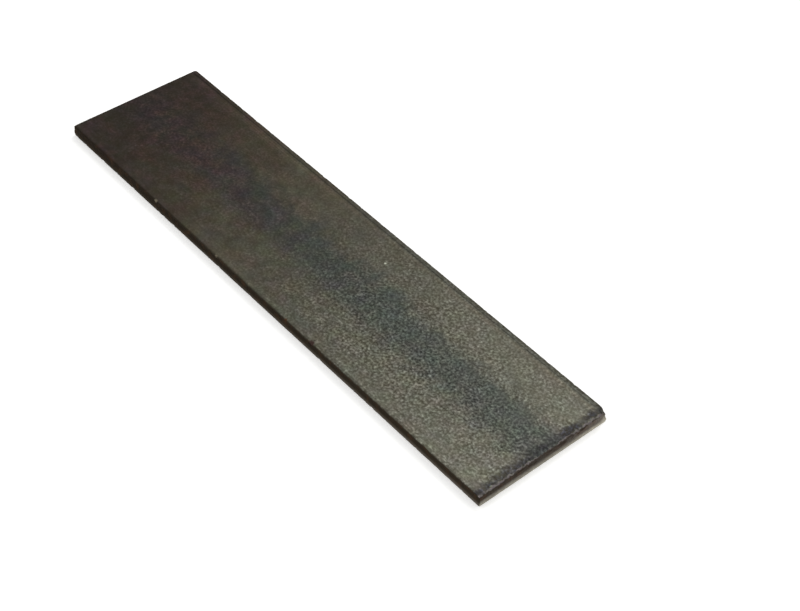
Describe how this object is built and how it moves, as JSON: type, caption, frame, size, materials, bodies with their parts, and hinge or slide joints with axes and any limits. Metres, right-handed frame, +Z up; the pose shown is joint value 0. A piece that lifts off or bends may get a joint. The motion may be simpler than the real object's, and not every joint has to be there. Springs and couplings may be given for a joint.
{
  "type": "flat bar",
  "caption": "Hot-rolled mild steel flat bar with a dark mill-scale skin, lightly rounded long edges and sheared ends, for framing, brackets and plates.",
  "frame": {"origin": "middle of the underside, on the floor that the bar lies on", "axes": "+X along the length towards the end whose roll-over is on top, +Y across the width towards the rolled-off long edge, +Z up through the thickness"},
  "size_m": [0.3, 0.075, 0.006],
  "materials": {
    "mill_scale_steel": "hot-rolled mill scale, fine grained and satin, with darker long edges and freshly sheared ends"
  },
  "bodies": {
    "root": {"flat_bar": "mill_scale_steel"}
  },
  "joints": []
}
